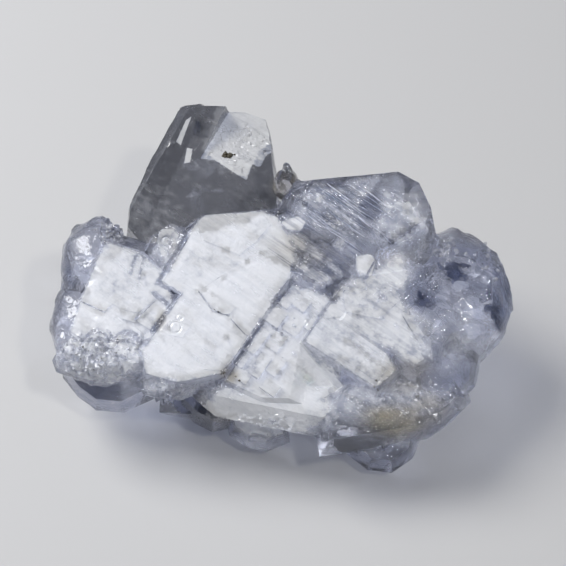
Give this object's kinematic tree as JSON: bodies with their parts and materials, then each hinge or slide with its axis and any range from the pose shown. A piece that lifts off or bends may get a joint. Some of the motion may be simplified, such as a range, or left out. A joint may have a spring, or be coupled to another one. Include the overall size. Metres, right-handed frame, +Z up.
{
  "type": "faden quartz cluster",
  "caption": "Free-standing cluster of flat quartz crystals, milky in front and clear at the rim, grown side by side and resting on the short crystals of its underside.",
  "frame": {"origin": "on the surface the cluster rests on, under the middle of its bounding box", "axes": "+Z up; +X to the right across the flat faces; the flat faces look towards -Y and up, leaning back 23 degrees from level"},
  "size_m": [0.065, 0.0508, 0.0285],
  "materials": {
    "quartz": "gloss"
  },
  "bodies": {
    "root": {"quartz_cluster": "quartz"}
  },
  "joints": []
}
